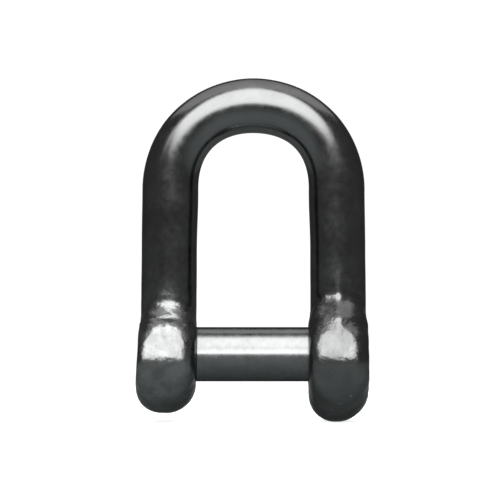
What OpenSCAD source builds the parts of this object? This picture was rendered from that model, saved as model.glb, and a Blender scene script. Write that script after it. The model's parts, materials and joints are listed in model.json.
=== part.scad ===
// D shackle with a sunk screw pin, 16 mm size.
// Origin: centre of the pin's axis, midway across the jaw.
// +X runs along the pin towards its head, +Z towards the crown, -Y is the front.

/* [Forging] */
// Diameter of the round bar
bar_d = 16; // [12:1:24]
// Clear width of the jaw between the legs
jaw_w = 32; // [28:1:48]
// Height from the pin's axis to the centre of the crown's arc
crown_h = 47; // [40:1:70]

/* [Eyes] */
// Radius of the eye that holds the pin's head
head_eye_r = 19.2; // [17:0.1:24]
// Radius of the eye that the thread is cut in
thread_eye_r = 16.7; // [16:0.1:22]
// Thickness of the head eye along the pin
head_eye_t = 17.1; // [17:0.1:22]
// Thickness of the thread eye along the pin
thread_eye_t = 17.4; // [17:0.1:22]
// Rounding of the head eye's rim at its inner face
head_round_in = 7.5; // [3:0.5:8]
// Rounding of the head eye's rim at its outer face
head_round_out = 8; // [3:0.5:8]
// Rounding of the thread eye's rim at its inner face
thread_round_in = 8; // [3:0.5:8]
// Rounding of the thread eye's rim at its outer face
thread_round_out = 7; // [3:0.5:8]
// How far the head eye's inner face stands in from the leg
head_eye_in = 0.3; // [0:0.1:1.5]
// Lean of the neck's sides above the head eye, in degrees from upright
head_neck_lean = 38; // [30:1:50]
// Lean of the neck's sides above the thread eye, in degrees from upright
thread_neck_lean = 45; // [35:1:50]
// How far the rounded root of a leg reaches past its eye's rim
root_reach = 4.5; // [3:0.5:6]

/* [Pin] */
// Diameter of the pin across the jaw
pin_d = 15.5; // [12:0.5:16]
// Diameter over the crests of the pin's thread
thread_d = 15.8; // [12:0.2:16]
// Diameter of the pin's neck, where it sits in the head eye
neck_d = 16.5; // [16.4:0.1:17.5]
// Diameter of the pin's sunk head
head_d = 20.4; // [18:0.2:24]
// Thickness of the pin's head
head_t = 7.2; // [5:0.1:9]
// Width of the key socket across its flats
socket_af = 10; // [6:1:12]
// Depth of the key socket
socket_depth = 5.6; // [4:0.1:8]

/* [Fits] */
// Gap all round between the pin's neck and the hole in the head eye
neck_gap = 0.1; // [0.05:0.05:0.3]
// Gap all round between the pin's thread and the threaded eye
thread_gap = 0.05; // [0.02:0.01:0.1]
// Gap all round the pin's head in its recess
head_gap = 0.4; // [0.2:0.1:0.6]

/* [Hidden] */
$fn = 96;
forged_black = [0.16, 0.165, 0.165];
pin_black = [0.24, 0.245, 0.25];
EPS = 0.01;

bar_r = bar_d / 2;
leg_x = jaw_w / 2 + bar_r;

// Planes square to the pin, from the head eye's outer face to the thread eye's
head_inner_x = jaw_w / 2 - head_eye_in;
head_face_x = head_inner_x + head_eye_t;
thread_inner_x = -jaw_w / 2;
thread_face_x = thread_inner_x - thread_eye_t;

// A leg's root is a little thicker along the pin than the bar
root_t = bar_d + 0.7;
root_round = 7;
neck_sink = 0.3;

// Recess for the head, and how far the pin's head and end stop short of the eyes' faces
head_sink = 0.5;
end_sink = 1;
head_seat_x = head_face_x - head_sink - head_t;
recess_r = head_d / 2 + head_gap;
recess_chamfer = 0.8;

// Pin
pin_r = pin_d / 2;
neck_r = neck_d / 2;
thread_r = thread_d / 2;
relief_r = min(pin_r, thread_r) - 1.2;
relief_w = 2.4;
pin_end_x = thread_face_x + end_sink;
pin_chamfer = 1.3;
head_chamfer = 0.6;
shoulder_chamfer = 0.3;
hex_r = socket_af / 2 / cos(30);
socket_tip = 1.6;

// Turns a shape revolved about Z so that it is revolved about X, its +Z end at +X
module along_x() rotate([0, 90, 0]) children();

// Half outline of a disc about Z, with a rounding on its rim at its low and its high face
module disc_profile(radius, t, low_round, high_round) {
    square([radius - low_round, t - high_round]);
    translate([0, low_round]) square([radius - high_round, t - low_round]);
    translate([0, low_round]) square([radius, t - low_round - high_round]);
    translate([radius - low_round, low_round]) circle(r = low_round);
    translate([radius - high_round, t - high_round]) circle(r = high_round);
}

// A disc about the pin's axis, from x_low towards +X
module disc(radius, t, x_low, low_round, high_round)
    translate([x_low, 0, 0]) along_x()
        rotate_extrude() disc_profile(radius, t, low_round, high_round);

// Half outline of a leg's root about the leg's axis, its neck widening down until it runs into the eye's rim
module root_profile(radius, lean) {
    touch = (radius - neck_sink) * [cos(lean), sin(lean)];
    neck_top = touch[1] + (touch[0] - bar_r) / tan(lean);
    polygon([[0, 0], [touch[0], 0], touch, [bar_r, neck_top], [0, neck_top]]);
}

module leg(side, radius, lean) {
    translate([side * leg_x, 0, 0]) cylinder(r = bar_r, h = crown_h);
    intersection() {
        translate([side * leg_x, 0, 0]) rotate_extrude() root_profile(radius, lean);
        disc(radius + root_reach, root_t, side * leg_x - root_t / 2, root_round, root_round);
    }
}

module crown()
    translate([0, 0, crown_h]) rotate([90, 0, 0])
        rotate_extrude(angle = 180) translate([leg_x, 0]) circle(r = bar_r);

module shackle_body() color(forged_black) difference() {
    union() {
        crown();
        leg(1, head_eye_r, head_neck_lean);
        leg(-1, thread_eye_r, thread_neck_lean);
        disc(head_eye_r, head_eye_t, head_inner_x, head_round_in, head_round_out);
        disc(thread_eye_r, thread_eye_t, thread_face_x, thread_round_out, thread_round_in);
    }
    // Hole for the neck, with the head's recess and the recess's chamfered mouth
    translate([head_inner_x - 1, 0, 0]) along_x()
        cylinder(r = neck_r + neck_gap, h = head_eye_t + 2);
    translate([head_seat_x, 0, 0]) along_x()
        cylinder(r = recess_r, h = head_eye_t);
    translate([head_face_x - recess_chamfer, 0, 0]) along_x()
        cylinder(r1 = recess_r, r2 = recess_r + 2 * recess_chamfer, h = 2 * recess_chamfer);
    // Threaded hole
    translate([thread_face_x - 1, 0, 0]) along_x()
        cylinder(r = thread_r + thread_gap, h = thread_eye_t + 2);
}

// Half outline of the pin about its axis, from its threaded end up to its head
module pin_profile() {
    relief_x = thread_inner_x - relief_w;
    polygon([
        [0, pin_end_x],
        [thread_r - pin_chamfer, pin_end_x],
        [thread_r, pin_end_x + pin_chamfer],
        [thread_r, relief_x - 1],
        [relief_r, relief_x],
        [relief_r, thread_inner_x],
        [pin_r - shoulder_chamfer, thread_inner_x],
        [pin_r, thread_inner_x + shoulder_chamfer],
        [pin_r, head_inner_x],
        [neck_r, head_inner_x + neck_r - pin_r],
        [neck_r, head_seat_x],
        [head_d / 2, head_seat_x],
        [head_d / 2, head_seat_x + head_t - head_chamfer],
        [head_d / 2 - head_chamfer, head_seat_x + head_t],
        [0, head_seat_x + head_t]
    ]);
}

module sunk_pin() color(pin_black) difference() {
    along_x() rotate_extrude() pin_profile();
    // Key socket, with the drill's cone at its bottom
    translate([head_seat_x + head_t - socket_depth, 0, 0]) along_x() {
        rotate([0, 0, 30]) cylinder(r = hex_r, h = socket_depth + 1, $fn = 6);
        translate([0, 0, -socket_tip])
            cylinder(r1 = 0.3, r2 = socket_af / 2 - 0.2, h = socket_tip + EPS);
    }
}

shackle_body();
sunk_pin();
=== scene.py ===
"""The looks of a D shackle with a sunk screw pin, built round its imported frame.

Shapes are worked out in millimetres in the frame's own axes and turned into metres when a mesh is made:
+X runs along the pin towards its head, +Z towards the crown, and the front faces -Y.
"""
import json
import math

import bpy
import numpy as np
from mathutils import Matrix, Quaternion, Vector


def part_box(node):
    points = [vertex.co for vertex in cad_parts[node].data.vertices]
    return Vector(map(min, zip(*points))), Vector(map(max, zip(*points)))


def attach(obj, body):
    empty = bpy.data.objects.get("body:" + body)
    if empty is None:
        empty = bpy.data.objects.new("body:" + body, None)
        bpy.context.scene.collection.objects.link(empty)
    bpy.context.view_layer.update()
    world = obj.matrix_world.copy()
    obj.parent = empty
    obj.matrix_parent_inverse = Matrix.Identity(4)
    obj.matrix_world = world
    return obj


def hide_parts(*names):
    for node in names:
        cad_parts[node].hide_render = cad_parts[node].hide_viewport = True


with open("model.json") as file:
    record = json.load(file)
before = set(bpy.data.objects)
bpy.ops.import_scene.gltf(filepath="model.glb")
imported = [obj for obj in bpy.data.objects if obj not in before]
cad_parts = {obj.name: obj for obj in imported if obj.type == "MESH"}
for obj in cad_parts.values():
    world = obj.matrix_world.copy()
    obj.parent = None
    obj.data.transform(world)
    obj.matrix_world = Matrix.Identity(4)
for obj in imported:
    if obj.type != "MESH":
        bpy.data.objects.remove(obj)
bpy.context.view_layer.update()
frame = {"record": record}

MM = 0.001

# ---------------------------------------------------------------- driving sizes, in mm

MOUNTS = {m["name"]: m for m in frame["record"]["mounts"]}
BODY_LOW, BODY_HIGH = (np.array(corner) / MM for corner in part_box("shackle_body"))
PIN_LOW, PIN_HIGH = (np.array(corner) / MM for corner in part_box("sunk_pin"))

PIN_R = MOUNTS["pin"]["dims"]["r_mm"]
CROWN_INSIDE_Z = MOUNTS["crown_bearing"]["pos_m"][2] / MM
BAR_R = (BODY_HIGH[2] - CROWN_INSIDE_Z) / 2
JAW_HALF = 16.0
LEG_X = JAW_HALF + BAR_R
CROWN_Z = BODY_HIGH[2] - LEG_X - BAR_R

# The head eye is on +X and the thread eye on -X; a face is given by its distance from the jaw's middle
HEAD_EYE = dict(side=1, radius=BODY_HIGH[1], near=JAW_HALF - 0.3, far=BODY_HIGH[0] - 0.15, round_near=7.5,
                round_far=9.0, lean_near=0.05, lean_far=0.02, slimming=3.0, fuller_near=3.8, fuller_far=4.2)
THREAD_EYE = dict(side=-1, radius=16.7, near=JAW_HALF + 0.4, far=-BODY_LOW[0], round_near=8.5,
                  round_far=7.0, lean_near=0.0, lean_far=0.08, slimming=2.4, fuller_near=4.0, fuller_far=4.8)
HEAD_NECK_LEAN = math.radians(41)
THREAD_NECK_LEAN = math.radians(34)

HEAD_R = PIN_HIGH[2]
HEAD_T = 7.2
HEAD_FACE_X = PIN_HIGH[0]
HEAD_SEAT_X = HEAD_FACE_X - HEAD_T
PIN_END_X = PIN_LOW[0]
NECK_R = 8.25
NECK_HOLE_R = NECK_R + 0.1
RECESS_R = HEAD_R + 0.4
SOCKET_AF = 10.0
SOCKET_DEPTH = 5.6

SHOULDER_X = -JAW_HALF - 0.8
RELIEF_R = PIN_R - 1.2
THREAD_PITCH = 2.0
THREAD_CREST_R = 7.9
THREAD_ROOT_R = THREAD_CREST_R - 1.0
BORE_CREST_R = THREAD_CREST_R + 0.06
BORE_ROOT_R = BORE_CREST_R + 0.6

# The threaded wall's crests stand outside the pin's, so the two threads clear each other and don't engage
SLEEVE_ROOM = 0.02
SLEEVE_WALL = 0.3
SLEEVE_SINK = 0.1
SLEEVE_INSET = 0.95
THREAD_RUNOUT = 0.9

RECESS_CHAMFER = 0.8
NECK_HOLE_CHAMFER = 0.3
THREAD_MOUTH_CHAMFER = 1.1
THREAD_INNER_CHAMFER = 0.12
PIN_END_CHAMFER = 1.3
RELIEF_W = 2.4
HEAD_ROUND = 0.6
SOCKET_LIP = 0.35
SOCKET_TIP = 1.6
SOCKET_POINT = 1.75

# Surface of the forging
PARTING_HEIGHT = 0.06
PARTING_W = 0.6
UNEVENNESS = 0.03
MARK_DEPTH = 0.22
MARK_X = -25.0
MARK_Z = 10.4

# How finely the meshes are made
CELL = 0.47
MARGIN = 1.5
MACHINED_WITHIN = 0.12
PIN_SIDES = 144
SLEEVE_SIDES = 120
PIN_THREAD_STEP = 0.125
SLEEVE_THREAD_STEP = 0.15


# ---------------------------------------------------------------- fields: negative inside, in mm

def ease(value, start, end):
    """0 on the side of start, 1 on the side of end, and a smooth step between."""
    t = np.clip((value - start) / (end - start), 0.0, 1.0)
    return t * t * (3.0 - 2.0 * t)


def blend_min(a, b, reach):
    """The union of two fields, with a fillet where they come within reach of each other."""
    near = np.maximum(reach - np.abs(a - b), 0.0) / reach
    return np.minimum(a, b) - near * near * reach / 4.0


def crown_field(p):
    """The crown, a little squarer than a half ring and a little thinner at its shoulders."""
    side, y, up = np.abs(p[:, 0]), p[:, 1], np.maximum(p[:, 2] - CROWN_Z, 0.0)
    angle = np.arctan2(up, side)
    two, four = np.cos(2 * angle), np.cos(4 * angle)
    arc = LEG_X - 0.07 - 0.05 * two - 0.20 * four
    arc_r = BAR_R - 0.315 + 0.07 * two + 0.165 * four
    return np.hypot(np.hypot(side, up) - arc, y) - arc_r


def neck_spread(z, eye, lean, soft=1.8):
    """How far a leg widens to front and back at a height, on a straight taper touching its eye's rim."""
    eye_r = eye["radius"] - eye["slimming"]
    touch_y, touch_z = eye_r * math.cos(lean), eye_r * math.sin(lean)
    top = touch_z + (touch_y - BAR_R) / math.tan(lean)
    drop = np.clip(top - z, -soft, top - touch_z)
    ramp = np.where(drop < soft, (drop + soft) ** 2 / (4 * soft), drop)
    return ramp * math.tan(lean)


def leg_field(p):
    """A leg, round and slightly under the bar's size above, drawn out to an oval neck above its eye."""
    side, y, z = np.abs(p[:, 0]), np.abs(p[:, 1]), p[:, 2]
    head_spread = neck_spread(z, HEAD_EYE, HEAD_NECK_LEAN)
    thread_spread = neck_spread(z, THREAD_EYE, THREAD_NECK_LEAN)
    high, low_down = ease(z, 30.0, CROWN_Z), 1.0 - ease(z, 10.0, 30.0)
    half_x = BAR_R - 0.15 + 0.07 * high
    half_y = half_x + np.where(p[:, 0] > 0, head_spread, thread_spread)
    across = side - LEG_X + 0.32 * high - 0.12 * low_down
    below = np.minimum(z, 0.0)
    sides = np.sqrt(across ** 2 + below ** 2) / half_x + 1e-6
    front = y / half_y
    size = np.hypot(sides, front)
    slope = np.hypot(sides / half_x, front / half_y) / size
    return (size - 1.0) / slope


def ridge_height(p):
    """The low ridge that the bar's drawing out leaves down the front and back of each neck."""
    z, reach = p[:, 2], ease(np.abs(p[:, 1]), 4.0, 8.0)
    head = 0.5 * ease(z, 27.0, 17.0) * ease(z, 3.0, 9.0)
    thread = 0.4 * ease(z, 11.0, 9.0) * ease(z, 2.0, 7.5)
    return np.where(p[:, 0] > 0, head, thread) * reach * np.exp(-((np.abs(p[:, 0]) - LEG_X) / 1.6) ** 2)


def eye_field(p, side, radius, near, far, round_near, round_far, lean_near, lean_far, slimming,
              fuller_near, fuller_far):
    """A disc about the pin's axis with a rounded rim, slimmer above and fuller at front and back."""
    out, z = p[:, 0] * side, p[:, 2]
    rho = np.hypot(p[:, 1], z) + slimming * ease(z, -3.0, 16.0)
    near, far = near + lean_near * np.maximum(z, 0.0), far - lean_far * np.maximum(z + 8.0, 0.0)
    front = ease(np.abs(p[:, 1]) / np.maximum(rho, 1.0), 0.64, 1.0)
    round_near, round_far = round_near - fuller_near * front, round_far - fuller_far * front
    middle = (near + round_near + far - round_far) / 2
    edge = np.where(out < middle, round_near, round_far)
    past_face = np.where(out < middle, near + edge - out, out - far + edge)
    past_rim = rho - (radius - edge)
    outside = np.hypot(np.maximum(past_face, 0.0), np.maximum(past_rim, 0.0))
    return outside + np.minimum(np.maximum(past_face, past_rim), 0.0) - edge


def waves(p, size, seed):
    """Smooth uneven ripples between about -1 and 1, with bumps about size mm across."""
    rng = np.random.default_rng(seed)
    total = np.zeros(len(p))
    count = 7
    for _ in range(count):
        direction = rng.normal(size=3)
        direction *= 2 * math.pi / (size * rng.uniform(1.4, 2.6) * np.linalg.norm(direction))
        total += np.sin(p @ direction + rng.uniform(0, 2 * math.pi))
    return total / math.sqrt(count)


def forging_field(p):
    """The forging before machining: the bar run into both eyes, its parting line and uneven surface."""
    bar = np.where(p[:, 2] > CROWN_Z, crown_field(p), leg_field(p))
    eyes = np.where(p[:, 0] > 0, eye_field(p, **HEAD_EYE), eye_field(p, **THREAD_EYE))
    solid = blend_min(bar, eyes, 1.0 + 3.4 * ease(np.abs(p[:, 1]), 2.0, 8.0))
    low_down = 1.0 - ease(p[:, 2], 12.0, 30.0)
    parting = PARTING_HEIGHT * np.exp(-(p[:, 1] / PARTING_W) ** 2)
    uneven = UNEVENNESS * waves(p, 9.0, 1)
    uneven += low_down * (UNEVENNESS * waves(p, 4.5, 2) + UNEVENNESS * waves(p, 2.4, 3))
    mark = MARK_DEPTH * np.exp(-((p[:, 2] - MARK_Z) / 0.5) ** 2 - ((p[:, 0] - MARK_X) / 3.5) ** 2)
    mark *= p[:, 1] < 0
    return solid + uneven - parting + mark - ridge_height(p)


def cutter_field(p):
    """What the machining takes out: each eye's hole with its chamfers, and the head's recess."""
    x, rho = p[:, 0], np.hypot(p[:, 1], p[:, 2])
    slope = math.sqrt(0.5)
    head_mouth = RECESS_R + x - (HEAD_EYE["far"] - RECESS_CHAMFER)
    head_inner = NECK_HOLE_R - x + HEAD_EYE["near"] + NECK_HOLE_CHAMFER
    head = np.minimum.reduce([
        rho - NECK_HOLE_R,
        np.maximum(rho - RECESS_R, HEAD_SEAT_X - x),
        (rho - head_mouth) * slope,
        (rho - head_inner) * slope,
    ])
    thread_hole_r = BORE_ROOT_R + SLEEVE_SINK
    thread_mouth = BORE_CREST_R - x - (THREAD_EYE["far"] - THREAD_MOUTH_CHAMFER)
    thread_inner = BORE_CREST_R + x + THREAD_EYE["near"] + THREAD_INNER_CHAMFER
    thread = np.minimum.reduce([
        rho - thread_hole_r,
        (rho - thread_mouth) * slope,
        (rho - thread_inner) * slope,
    ])
    return np.where(x > 0, head, thread)


def body_field(p):
    return np.maximum(forging_field(p), -cutter_field(p))


# ---------------------------------------------------------------- meshes from fields

def gradient(field, p, step=0.002):
    """Unit normals of a field at points."""
    rise = np.empty_like(p)
    for axis in range(3):
        shift = np.zeros(3)
        shift[axis] = step
        rise[:, axis] = field(p + shift) - field(p - shift)
    return rise / np.maximum(np.linalg.norm(rise, axis=1, keepdims=True), 1e-12)


def crossings(field, start, end, start_value, end_value):
    """Where a field is zero along each edge, by a few steps of false position."""
    for _ in range(4):
        t = (start_value / (start_value - end_value))[:, None]
        middle = start + (end - start) * np.clip(t, 0.02, 0.98)
        value = field(middle)
        same = (value < 0) == (start_value < 0)
        start = np.where(same[:, None], middle, start)
        start_value = np.where(same, value, start_value)
        end = np.where(same[:, None], end, middle)
        end_value = np.where(same, end_value, value)
    t = (start_value / (start_value - end_value))[:, None]
    return start + (end - start) * t


def contour(field, low, high, cell):
    """A closed quad mesh where a field is zero, with its creases kept sharp (dual contouring)."""
    counts = np.ceil((high - low) / cell).astype(int) + 1
    axes = [low[i] + cell * np.arange(counts[i]) for i in range(3)]
    grid = np.stack(np.meshgrid(*axes, indexing="ij"), axis=-1)
    value = field(grid.reshape(-1, 3)).reshape(counts)
    inside = value < 0
    cells = counts - 1
    hits, normals, owners, corners, inners = [], [], [], [], []
    for axis in range(3):
        step = np.zeros(3, int)
        step[axis] = 1
        first = tuple(slice(0, n - s) for n, s in zip(counts, step))
        second = tuple(slice(s, n) for n, s in zip(counts, step))
        index = np.argwhere(inside[first] != inside[second])
        a, b = tuple(index.T), tuple((index + step).T)
        hit = crossings(field, grid[a], grid[b], value[a], value[b])
        u, v = np.zeros(3, int), np.zeros(3, int)
        u[(axis + 1) % 3], v[(axis + 2) % 3] = 1, 1
        ring = np.stack([index - u - v, index - v, index, index - u], axis=1)
        ring_id = np.ravel_multi_index(tuple(ring.reshape(-1, 3).T), cells).reshape(-1, 4)
        hits.append(hit)
        normals.append(gradient(field, hit))
        owners.append(ring_id)
        corners.append(np.where(inside[a][:, None], ring_id, ring_id[:, ::-1]))
        inner = np.where(inside[a][:, None], index, index + step)
        inners.append(np.ravel_multi_index(tuple(inner.T), counts))
    hit, normal, owner = np.concatenate(hits), np.concatenate(normals), np.concatenate(owners)
    used, place = np.unique(owner, return_inverse=True)
    place = place.reshape(-1, 4)

    def gather(values):
        return sum(np.bincount(place[:, k], values, len(used)) for k in range(4))

    number = gather(np.ones(len(hit)))
    mass = np.stack([gather(hit[:, i]) for i in range(3)], axis=1) / number[:, None]
    offset = np.einsum("ij,ij->i", normal, hit)
    square = np.empty((len(used), 3, 3))
    for i in range(3):
        for j in range(i, 3):
            square[:, i, j] = square[:, j, i] = gather(normal[:, i] * normal[:, j])
    right = np.stack([gather(normal[:, i] * offset) for i in range(3)], axis=1)
    right -= np.einsum("nij,nj->ni", square, mass)
    weight, basis = np.linalg.eigh(square)
    crease = 0.08
    keep = weight > crease * weight[:, -1:]
    scaled = np.einsum("nji,nj->ni", basis, right) * np.where(keep, 1 / np.where(keep, weight, 1.0), 0.0)
    move = np.einsum("nij,nj->ni", basis, scaled)
    points = mass + np.clip(move, -cell, cell)
    smooth = keep.sum(axis=1) == 1
    for _ in range(2):
        p = points[smooth]
        points[smooth] = p - field(p)[:, None] * gradient(field, p)
    faces = np.searchsorted(used, np.concatenate(corners))
    return part_sheets(points, faces, np.concatenate(inners))


def part_sheets(points, faces, inner):
    """Gives each sheet of the surface its own point where two sheets share a cell.

    inner names the grid point inside the solid that each face lies against: where four faces meet
    at one edge, the two that lie against the same grid point belong together.
    """
    n, sides = len(points), np.roll(faces, -1, axis=1)
    key = np.minimum(faces, sides) * n + np.maximum(faces, sides)
    _, place, count = np.unique(key, return_inverse=True, return_counts=True)
    shared = count[place].reshape(-1, 4) > 2
    order = np.argsort(faces.ravel(), kind="stable")
    start = np.searchsorted(faces.ravel()[order], np.arange(n + 1))
    new_points, new_faces = list(points), faces.copy()
    for point in np.flatnonzero(np.diff(start) >= 6):
        corners = [divmod(int(k), 4) for k in order[start[point]:start[point + 1]]]
        neighbours = {}
        for face, k in corners:
            for other, edge in (((k + 1) % 4, k), (k - 1, k - 1)):
                against = inner[face] if shared[face, edge] else -1
                neighbours.setdefault((faces[face, other], against), []).append((face, k))
        sheet = {corner: i for i, corner in enumerate(corners)}
        for _ in corners:
            for pair in neighbours.values():
                least = min(sheet[corner] for corner in pair)
                sheet.update((corner, least) for corner in pair)
        for other in sorted(set(sheet.values()))[1:]:
            new_points.append(points[point])
            for face, k in corners:
                if sheet[face, k] == other:
                    new_faces[face, k] = len(new_points) - 1
    return np.array(new_points), new_faces


def mesh_object(name, points, faces, sharp_degrees=30):
    """A smooth-shaded object from points in mm and faces, with creases over sharp_degrees left sharp."""
    mesh = bpy.data.meshes.new(name)
    mesh.from_pydata((np.asarray(points) * MM).tolist(), [], [list(map(int, f)) for f in faces])
    mesh.validate()
    mesh.shade_smooth()
    mesh.set_sharp_from_angle(angle=math.radians(sharp_degrees))
    piece = bpy.data.objects.new(name, mesh)
    bpy.context.scene.collection.objects.link(piece)
    return piece


# ---------------------------------------------------------------- turned shapes about X

def thread_depth(x, angle):
    """Depth of the right-handed thread's groove at x and an angle: 0 at its crest and 1 at its root."""
    turn = (x / THREAD_PITCH + angle / (2 * math.pi)) % 1.0
    return np.clip((1.0 - np.abs(2 * turn - 1.0)) * 1.25 - 0.125, 0.0, 1.0)


class Grid:
    """Rings of points about X, joined into faces one after the other."""

    def __init__(self, count):
        self.angle = np.arange(count) * 2 * math.pi / count
        self.points, self.faces, self.rings = [], [], []

    def ring(self, x, radius):
        x = np.broadcast_to(x, self.angle.shape)
        radius = np.broadcast_to(radius, self.angle.shape)
        start = len(self.points)
        self.points.extend(np.stack([x, radius * np.sin(self.angle), radius * np.cos(self.angle)], axis=1))
        ids = list(range(start, start + len(self.angle)))
        if self.rings:
            self.join(self.rings[-1], ids)
        self.rings.append(ids)
        return ids

    def join(self, a, b):
        n = len(a)
        self.faces.extend([a[i], b[i], b[(i + 1) % n], a[(i + 1) % n]] for i in range(n))

    def tip(self, x, ring_ids, flip):
        """Closes a ring with a fan to a point on the axis."""
        self.points.append(np.array([x, 0.0, 0.0]))
        centre, n = len(self.points) - 1, len(ring_ids)
        for i in range(n):
            face = [ring_ids[i], centre, ring_ids[(i + 1) % n]]
            self.faces.append(face[::-1] if flip else face)


def pin_mesh():
    """The pin from its threaded end to its sunk head with the key socket, as one closed grid."""
    g = Grid(PIN_SIDES)
    a = g.angle
    # threaded end: drill centre, flat, chamfer
    first = g.ring(PIN_END_X + 0.9, 0.35)
    g.tip(PIN_END_X + 1.0, first, True)
    g.ring(PIN_END_X + 0.12, 1.5)
    g.ring(PIN_END_X, 1.75)
    for r in np.linspace(2.6, THREAD_ROOT_R - 0.35, 5):
        g.ring(PIN_END_X, r)
    relief_x = -JAW_HALF - RELIEF_W
    for x in np.arange(PIN_END_X + 0.06, relief_x - 0.2, PIN_THREAD_STEP):
        chamfer_r = THREAD_CREST_R - PIN_END_CHAMFER + (x - PIN_END_X)
        depth = thread_depth(x, a) * (THREAD_CREST_R - THREAD_ROOT_R)
        g.ring(x, np.minimum(THREAD_CREST_R - depth, chamfer_r))
    # relief groove, then the plain shank with its chamfer, the neck and the head
    for x, r in (
        (relief_x, RELIEF_R + 0.1), (relief_x + 0.15, RELIEF_R), (SHOULDER_X - 0.25, RELIEF_R),
        (SHOULDER_X - 0.05, RELIEF_R + 0.15), (SHOULDER_X, RELIEF_R + 0.6), (SHOULDER_X, PIN_R - 0.3),
        (SHOULDER_X + 0.05, PIN_R - 0.2), (SHOULDER_X + 0.2, PIN_R - 0.05), (SHOULDER_X + 0.3, PIN_R),
    ):
        g.ring(x, r)
    for x in np.linspace(SHOULDER_X + 1.0, HEAD_EYE["near"] - 0.1, 60):
        g.ring(x, PIN_R)
    neck_x = HEAD_EYE["near"] + 0.25
    for x, r in (
        (neck_x, NECK_R - 0.02), (neck_x + 0.1, NECK_R), (HEAD_SEAT_X - 0.5, NECK_R),
        (HEAD_SEAT_X - 0.12, NECK_R), (HEAD_SEAT_X, NECK_R + 0.02), (HEAD_SEAT_X, NECK_R + 0.2),
        (HEAD_SEAT_X, HEAD_R - 0.45), (HEAD_SEAT_X + 0.1, HEAD_R - 0.12), (HEAD_SEAT_X + 0.4, HEAD_R),
    ):
        g.ring(x, r)
    for x in np.linspace(HEAD_SEAT_X + 0.9, HEAD_FACE_X - 0.9, 8):
        g.ring(x, HEAD_R)
    for turn in np.linspace(0.0, 90.0, 7):
        t = math.radians(turn)
        along, across = HEAD_ROUND * math.sin(t), HEAD_ROUND * math.cos(t)
        g.ring(HEAD_FACE_X - HEAD_ROUND + along, HEAD_R - HEAD_ROUND + across)
    # key socket: chamfered mouth, hexagonal walls, flat floor with the drill's cone
    sector = math.pi / 3
    corner = SOCKET_AF / 2 / np.cos((a % sector) - sector / 2)
    mouth_r = SOCKET_AF / math.sqrt(3) + SOCKET_LIP
    for r in np.linspace(HEAD_R - 1.2, mouth_r + 0.3, 6):
        g.ring(HEAD_FACE_X, r)
    g.ring(HEAD_FACE_X, mouth_r)
    lip = HEAD_FACE_X - (mouth_r - corner)
    g.ring(lip, corner)
    for part in np.linspace(0.12, 0.97, 9):
        g.ring(lip + (HEAD_FACE_X - SOCKET_DEPTH - lip) * part, corner)
    g.ring(HEAD_FACE_X - SOCKET_DEPTH, corner)
    floor_r = SOCKET_AF / 2 - 0.2
    for part in (0.7, 0.35):
        g.ring(HEAD_FACE_X - SOCKET_DEPTH, floor_r + (corner - floor_r) * part)
    g.ring(HEAD_FACE_X - SOCKET_DEPTH, floor_r)
    for part in np.linspace(0.85, 0.15, 5):
        g.ring(HEAD_FACE_X - SOCKET_DEPTH - SOCKET_TIP * (1 - part), floor_r * part)
    g.tip(HEAD_FACE_X - SOCKET_DEPTH - SOCKET_POINT, g.rings[-1], False)
    return np.array(g.points), g.faces


def thread_sleeve_mesh():
    """The thread eye's threaded wall: a ring with the helical groove inside it, let into its hole."""
    g = Grid(SLEEVE_SIDES)
    outer_r = BORE_ROOT_R + SLEEVE_WALL
    low, high = -THREAD_EYE["far"] + SLEEVE_INSET, -THREAD_EYE["near"] - SLEEVE_INSET
    stations = np.arange(low, high, SLEEVE_THREAD_STEP)
    for x in stations:
        depth = thread_depth(x, g.angle) * (BORE_ROOT_R - BORE_CREST_R)
        fade = ease(x, low, low + THREAD_RUNOUT) * (1 - ease(x, high - THREAD_RUNOUT, high))
        g.ring(x, BORE_CREST_R + SLEEVE_ROOM + depth * fade)
    g.ring(stations[-1], outer_r)
    g.ring(low, outer_r)
    g.join(g.rings[-1], g.rings[0])
    return np.array(g.points), [f[::-1] for f in g.faces]


# ---------------------------------------------------------------- materials

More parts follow.
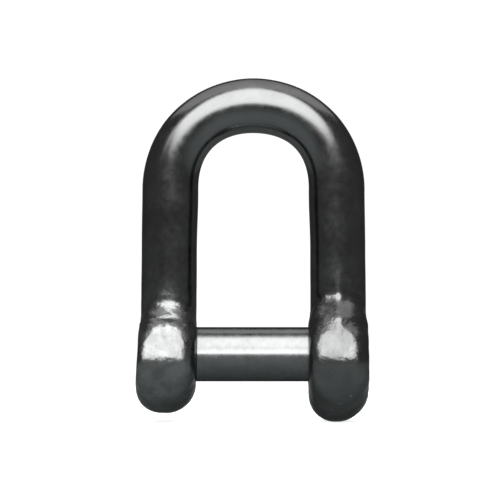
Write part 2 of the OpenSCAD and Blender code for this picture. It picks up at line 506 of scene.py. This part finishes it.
class Shading:
    """A material's node tree, with the few kinds of node that the metals are made of."""

    def __init__(self, name):
        self.material = bpy.data.materials.new(name)
        self.material.use_nodes = True
        self.nodes, self.links = self.material.node_tree.nodes, self.material.node_tree.links
        self.nodes.clear()
        out = self.nodes.new("ShaderNodeOutputMaterial")
        self.shader = self.nodes.new("ShaderNodeBsdfPrincipled")
        self.links.new(self.shader.outputs["BSDF"], out.inputs["Surface"])
        self.place = self.nodes.new("ShaderNodeTexCoord").outputs["Object"]

    def put(self, value, socket):
        if isinstance(value, bpy.types.NodeSocket):
            self.links.new(value, socket)
        else:
            socket.default_value = value

    def noise(self, size_mm, detail=3.0, stretch=(1, 1, 1), roughness=0.55):
        """Noise with features about size_mm across, finer along an axis by its stretch."""
        mapping = self.nodes.new("ShaderNodeMapping")
        mapping.inputs["Scale"].default_value = stretch
        self.links.new(self.place, mapping.inputs["Vector"])
        texture = self.nodes.new("ShaderNodeTexNoise")
        texture.inputs["Scale"].default_value = 1.0 / (size_mm * MM)
        texture.inputs["Detail"].default_value = detail
        texture.inputs["Roughness"].default_value = roughness
        self.links.new(mapping.outputs["Vector"], texture.inputs["Vector"])
        return texture.outputs["Fac"]

    def span(self, value, low, high, out_low, out_high):
        """Takes a value from one range to another, clamped."""
        node = self.nodes.new("ShaderNodeMapRange")
        self.put(value, node.inputs["Value"])
        ends = {"From Min": low, "From Max": high, "To Min": out_low, "To Max": out_high}
        for name, number in ends.items():
            node.inputs[name].default_value = number
        return node.outputs["Result"]

    def maths(self, operation, a, b):
        node = self.nodes.new("ShaderNodeMath")
        node.operation = operation
        self.put(a, node.inputs[0])
        self.put(b, node.inputs[1])
        return node.outputs["Value"]

    def mix(self, factor, a, b):
        """Mixes two colours."""
        node = self.nodes.new("ShaderNodeMix")
        node.data_type = "RGBA"
        self.put(factor, node.inputs["Factor"])
        self.put(a, node.inputs["A"])
        self.put(b, node.inputs["B"])
        return node.outputs["Result"]

    def bump(self, height, depth_mm, strength=1.0, under=None):
        node = self.nodes.new("ShaderNodeBump")
        node.inputs["Strength"].default_value = strength
        node.inputs["Distance"].default_value = depth_mm * MM
        self.put(height, node.inputs["Height"])
        if under is not None:
            self.links.new(under, node.inputs["Normal"])
        return node.outputs["Normal"]

    def along(self, axis, low_mm, high_mm):
        """0 below one place on an axis and 1 above the other."""
        split = self.nodes.new("ShaderNodeSeparateXYZ")
        self.links.new(self.place, split.inputs["Vector"])
        return self.span(split.outputs[axis], low_mm * MM, high_mm * MM, 0.0, 1.0)

    def edges(self, low, high):
        """1 on sharp outward edges and 0 on plain surface."""
        geometry = self.nodes.new("ShaderNodeNewGeometry")
        return self.span(geometry.outputs["Pointiness"], low, high, 0.0, 1.0)


BLACK = (0.103, 0.104, 0.103, 1)
BLACK_LIGHT = (0.125, 0.127, 0.126, 1)
BLACK_DULL = (0.150, 0.153, 0.152, 1)
# painted shade: a darker colour mixed into the head eye, so it reflects the lights more dimly
HEAD_EYE_SHADE_COLOUR = (0.070, 0.071, 0.070, 1)
PIN_BLACK = (0.120, 0.122, 0.122, 1)
PIN_LIGHT = (0.146, 0.148, 0.149, 1)
BARE = (0.34, 0.34, 0.335, 1)
EDGE_TINT = (0.5, 0.5, 0.5, 1)
PIN_EDGE_TINT = (0.35, 0.35, 0.35, 1)

# The floor's colour and glow under the object, in the open, and as the camera sees them; the darker ones
# under the object are a painted shadow
FLOOR_COLOURS = ((0.056, 0.062, 0.062, 1), (0.115, 0.123, 0.124, 1), (0.85, 0.85, 0.85, 1))
FLOOR_GLOWS = ((0.17, 0.188, 0.19, 1), (0.295, 0.32, 0.323, 1), (0.82, 0.82, 0.82, 1))
STUDIO_LIGHT = (0.18, 0.18, 0.18, 1)
STUDIO_SEEN = (1.05, 1.05, 1.05, 1)


def forged_material():
    """Blackened forged steel: glossy on the bar, and duller and more uneven on the eyes, with painted shade
    that darkens the head eye.
    """
    s = Shading("forged_black")
    broad = s.noise(7.0, 2.0)
    fine = s.noise(1.6, 4.0, roughness=0.6)
    grain = s.noise(0.45, 3.0)
    low_down = s.maths("SUBTRACT", 1.0, s.along("Z", 10.0, 24.0))
    tone = s.span(s.maths("ADD", broad, s.maths("MULTIPLY", fine, 0.6)), 0.55, 1.05, 0.0, 1.0)
    colour = s.mix(tone, BLACK, BLACK_LIGHT)
    patches = s.maths("MULTIPLY", low_down, s.span(s.noise(5.0, 3.0), 0.42, 0.62, 0.0, 1.0))
    colour = s.mix(patches, colour, BLACK_DULL)
    # painted shade: the head eye's lower part is darkened, so its highlights are dimmer than the thread
    # eye's
    head_eye_painted_shade = s.maths("MULTIPLY", low_down, s.along("X", 0.0, 20.0))
    colour = s.mix(s.maths("MULTIPLY", head_eye_painted_shade, 0.6), colour, HEAD_EYE_SHADE_COLOUR)
    wear = s.maths("MULTIPLY", s.edges(0.57, 0.68), s.span(fine, 0.42, 0.62, 0.1, 0.8))
    s.put(s.mix(wear, colour, BARE), s.shader.inputs["Base Color"])
    s.shader.inputs["Metallic"].default_value = 1.0
    s.shader.inputs["Specular Tint"].default_value = EDGE_TINT
    gloss = s.span(s.maths("ADD", fine, broad), 0.7, 1.3, 0.16, 0.27)
    s.put(s.maths("ADD", gloss, s.maths("MULTIPLY", low_down, 0.07)), s.shader.inputs["Roughness"])
    height = s.maths("MULTIPLY", fine, s.span(low_down, 0.0, 1.0, 0.25, 1.0))
    dents = s.bump(s.maths("MULTIPLY", s.noise(3.2, 2.0), low_down), 0.25)
    dents = s.bump(height, 0.05, under=dents)
    s.put(s.bump(grain, 0.006, under=dents), s.shader.inputs["Normal"])
    return s.material


def machined_material():
    """The holes and recess cut after forging: a little lighter, with turning marks round the pin's axis."""
    s = Shading("machined_black")
    rings = s.noise(0.6, 2.0, stretch=(1.0, 0.06, 0.06))
    broad = s.noise(5.0, 2.0)
    s.put(s.mix(s.span(broad, 0.35, 0.65, 0.0, 1.0), BLACK, BLACK_LIGHT), s.shader.inputs["Base Color"])
    s.shader.inputs["Metallic"].default_value = 1.0
    s.shader.inputs["Specular Tint"].default_value = EDGE_TINT
    s.put(s.span(rings, 0.3, 0.7, 0.24, 0.36), s.shader.inputs["Roughness"])
    s.put(s.bump(rings, 0.012), s.shader.inputs["Normal"])
    return s.material


def pin_material():
    """The pin: smooth turned steel, blackened, with fine marks round it and rubbed edges."""
    s = Shading("pin_black")
    rings = s.noise(0.5, 3.0, stretch=(1.0, 0.05, 0.05))
    broad = s.noise(6.0, 3.0)
    fine = s.noise(1.8, 3.0)
    colour = s.mix(s.span(s.maths("ADD", broad, fine), 0.75, 1.25, 0.0, 1.0), PIN_BLACK, PIN_LIGHT)
    wear = s.maths("MULTIPLY", s.edges(0.56, 0.66), s.span(fine, 0.4, 0.6, 0.15, 0.85))
    s.put(s.mix(wear, colour, BARE), s.shader.inputs["Base Color"])
    s.shader.inputs["Metallic"].default_value = 1.0
    s.shader.inputs["Specular Tint"].default_value = PIN_EDGE_TINT
    s.put(s.span(s.maths("ADD", fine, broad), 0.75, 1.25, 0.22, 0.28), s.shader.inputs["Roughness"])
    marks = s.bump(rings, 0.003)
    s.put(s.bump(fine, 0.004, under=marks), s.shader.inputs["Normal"])
    return s.material


def stage_material():
    """The pale floor: it looks pale to the camera and reflects as a dimmer one, with a painted shadow
    darkest under the object.
    """
    s = Shading("pale_floor")
    nodes, links, shader = s.nodes, s.links, s.shader
    shader.inputs["Roughness"].default_value = 0.9
    rays = nodes.new("ShaderNodeLightPath")
    length = nodes.new("ShaderNodeVectorMath")
    length.operation = "LENGTH"
    squeeze = nodes.new("ShaderNodeMapping")
    squeeze.inputs["Scale"].default_value = (0.5, 1.0, 1.0)
    links.new(s.place, squeeze.inputs["Vector"])
    links.new(squeeze.outputs["Vector"], length.inputs[0])
    # painted shadow: in reflections the floor's colour and glow darken towards the object's footprint
    shade = s.span(length.outputs["Value"], 5.0 * MM, 28.0 * MM, 0.0, 1.0)
    floor_looks = {"Base Color": FLOOR_COLOURS, "Emission Color": FLOOR_GLOWS}
    for socket, (under, open_floor, seen) in floor_looks.items():
        reflected = s.mix(shade, under, open_floor)
        s.put(s.mix(rays.outputs["Is Camera Ray"], reflected, seen), shader.inputs[socket])
    shader.inputs["Emission Strength"].default_value = 1.0
    return s.material


# ---------------------------------------------------------------- pieces

points, faces = contour(body_field, BODY_LOW - MARGIN, BODY_HIGH + MARGIN, CELL)
sleeve_points, sleeve_faces = thread_sleeve_mesh()
body_points = np.concatenate([points, sleeve_points])
body_faces = [list(f) for f in faces] + [[i + len(points) for i in f] for f in sleeve_faces]
body = mesh_object("forged_shackle", body_points, body_faces)
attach(body, "body")
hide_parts("shackle_body")
body.data.materials.append(forged_material())
body.data.materials.append(machined_material())
centres = np.array([polygon.center for polygon in body.data.polygons]) / MM
machined = np.abs(cutter_field(centres)) < MACHINED_WITHIN
machined[len(faces):] = True
body.data.polygons.foreach_set("material_index", machined.astype(np.int32))

pin = mesh_object("screw_pin", *pin_mesh())
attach(pin, "pin")
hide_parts("sunk_pin")
pin.data.materials.append(pin_material())

# ---------------------------------------------------------------- stage, lights and camera

floor_z = BODY_LOW[2]
bpy.ops.mesh.primitive_circle_add(vertices=96, radius=0.5, fill_type="NGON", location=(0, 0, floor_z * MM))
floor = bpy.context.object
floor.name = "floor"
floor.data.materials.append(stage_material())

world = bpy.data.worlds.new("studio")
bpy.context.scene.world = world
world.use_nodes = True
nodes, links = world.node_tree.nodes, world.node_tree.links
background = nodes["Background"]
rays = nodes.new("ShaderNodeLightPath")
mix = nodes.new("ShaderNodeMix")
mix.data_type = "RGBA"
mix.inputs["A"].default_value = STUDIO_LIGHT
mix.inputs["B"].default_value = STUDIO_SEEN
links.new(rays.outputs["Is Camera Ray"], mix.inputs["Factor"])
links.new(mix.outputs["Result"], background.inputs["Color"])


def softbox(name, location, target, size, watts, fade=None, spread=180, roll=0.0):
    """A soft area light aimed at a point, in mm; a round one fades out from that part of its radius."""
    light = bpy.data.lights.new(name, "AREA")
    light.shape = "RECTANGLE" if fade is None else "ELLIPSE"
    light.size, light.size_y = size[0] * MM, size[1] * MM
    light.energy = watts
    light.spread = math.radians(spread)
    lamp = bpy.data.objects.new(name, light)
    lamp.location = Vector(location) * MM
    aim = (Vector(target) - Vector(location)).to_track_quat("-Z", "Y")
    lamp.rotation_euler = (aim @ Quaternion((0, 0, 1), math.radians(roll))).to_euler()
    lamp.visible_camera = False
    bpy.context.scene.collection.objects.link(lamp)
    if fade is not None:
        dim_towards_rim(light, fade)


def dim_towards_rim(light, fade):
    """Lets a round softbox fall off towards its rim, as its cloth does."""
    light.use_nodes = True
    nodes, links = light.node_tree.nodes, light.node_tree.links
    place = nodes.new("ShaderNodeNewGeometry").outputs["Parametric"]
    distance = nodes.new("ShaderNodeVectorMath")
    distance.operation = "DISTANCE"
    links.new(place, distance.inputs[0])
    distance.inputs[1].default_value = (0.5, 0.5, 0.0)
    falloff = nodes.new("ShaderNodeMapRange")
    falloff.interpolation_type = "SMOOTHSTEP"
    links.new(distance.outputs["Value"], falloff.inputs["Value"])
    for socket, value in (("From Min", fade / 2), ("From Max", 0.5), ("To Min", 1.0), ("To Max", 0.0)):
        falloff.inputs[socket].default_value = value
    links.new(falloff.outputs["Result"], nodes["Emission"].inputs["Strength"])


key_low = Vector((-4, -208, 81))
key_high = Vector((-4, -50, 305))
key_middle = (key_low + key_high) / 2
key_rise = key_high - key_low
key_aim = key_middle + Vector((0, key_rise.z, -key_rise.y))
softbox("key", key_middle, key_aim, (350, key_rise.length), 1.64, fade=0.7, roll=6)
softbox("left_fill", (-205, -150, 222), (-20, 0, 60), (130, 200), 0.155, fade=0.3)
softbox("top_back", (0, 90, 330), (0, 0, 40), (520, 320), 0.75)
softbox("low_front", (0, -30, 7.5), (0, 0, 7.5), (90, 11.7), 0.0069, spread=80)

CAMERA_PLACE = (-1.0, -1000.0, 29.7)
LENS = 252.8
SENSOR_W = 36.0
camera_data = bpy.data.cameras.new("camera")
camera = bpy.data.objects.new("camera", camera_data)
bpy.context.scene.collection.objects.link(camera)
camera.location = Vector(CAMERA_PLACE) * MM
camera.rotation_euler = (math.radians(90), 0, 0)
camera_data.lens = LENS
camera_data.sensor_width = SENSOR_W
camera_data.clip_start, camera_data.clip_end = 0.05, 20.0
bpy.context.scene.camera = camera
bpy.context.scene.view_settings.view_transform = "Standard"
